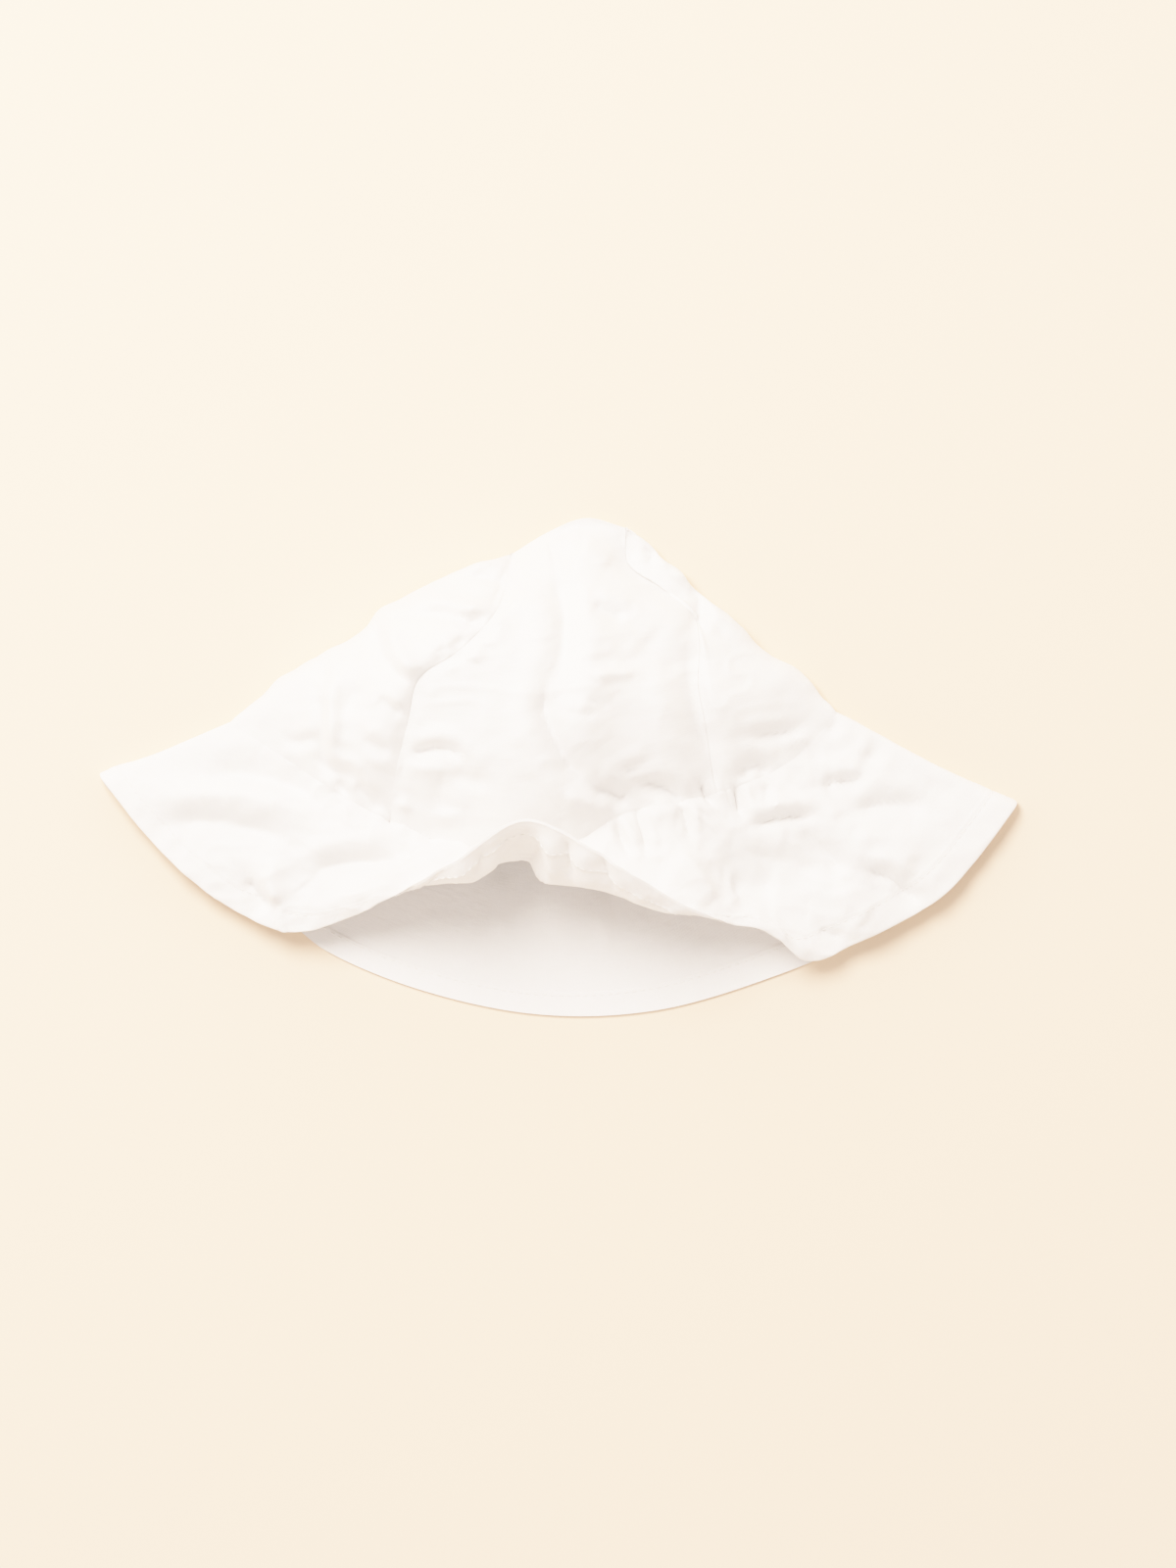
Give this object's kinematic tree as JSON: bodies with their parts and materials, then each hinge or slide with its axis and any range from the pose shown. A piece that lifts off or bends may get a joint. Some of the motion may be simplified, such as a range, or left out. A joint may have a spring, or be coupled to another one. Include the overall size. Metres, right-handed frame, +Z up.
{
  "type": "baby sun hat",
  "caption": "Soft white cotton baby sun hat with a panelled crown and a wide floppy brim, lying on its back with the front brim rolled up",
  "frame": {"origin": "On the surface that the hat lies on, under the middle of its box.", "axes": "+Z up, away from the surface; +Y from the opening towards the top of the crown; +X to the right when looking down with the crown away from the viewer, along the brim's greatest spread."},
  "size_m": [0.3448, 0.1878, 0.072],
  "materials": {
    "crown_cotton": "fine plain-weave white cotton, matte",
    "brim_cotton": "fine plain-weave white cotton, matte, turned and topstitched edge"
  },
  "bodies": {
    "root": {"crown_centre_panel": "crown_cotton", "crown_left_panel": "crown_cotton", "crown_right_panel": "crown_cotton", "brim": "brim_cotton"}
  },
  "joints": []
}
